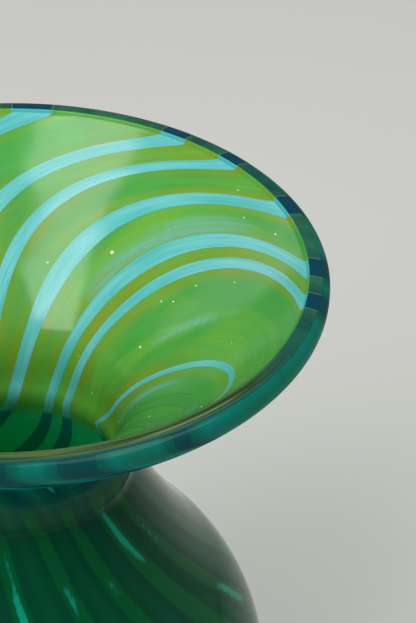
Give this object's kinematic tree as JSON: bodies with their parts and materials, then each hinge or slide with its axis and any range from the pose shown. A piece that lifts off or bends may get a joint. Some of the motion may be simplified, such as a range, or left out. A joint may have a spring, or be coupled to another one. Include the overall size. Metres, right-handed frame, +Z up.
{
  "type": "art glass vase",
  "caption": "Hand blown vase with a wide trumpet mouth, pinched neck and round body, in green glass with twisting turquoise ribbons under a teal casing.",
  "frame": {"origin": "centre of the flat ring that the vase stands on", "axes": "+Z up along the vase's axis of revolution; +X and +Y are level"},
  "size_m": [0.121, 0.121, 0.16],
  "materials": {
    "green_glass": "glossy translucent green glass with fine streaks and seed bubbles",
    "teal_glass": "glossy transparent dark teal glass",
    "turquoise_glass": "glossy milky turquoise glass"
  },
  "bodies": {
    "root": {"inner_lining": "green_glass", "outer_casing": "teal_glass", "ribbon_01": "turquoise_glass", "ribbon_02": "turquoise_glass", "ribbon_03": "turquoise_glass", "ribbon_04": "turquoise_glass", "ribbon_05": "turquoise_glass", "ribbon_06": "turquoise_glass", "ribbon_07": "turquoise_glass", "ribbon_08": "turquoise_glass", "ribbon_09": "turquoise_glass", "ribbon_10": "turquoise_glass", "ribbon_11": "turquoise_glass", "ribbon_12": "turquoise_glass", "ribbon_13": "turquoise_glass", "ribbon_14": "turquoise_glass", "ribbon_15": "turquoise_glass", "ribbon_16": "turquoise_glass", "ribbon_17": "turquoise_glass", "ribbon_18": "turquoise_glass"}
  },
  "joints": []
}
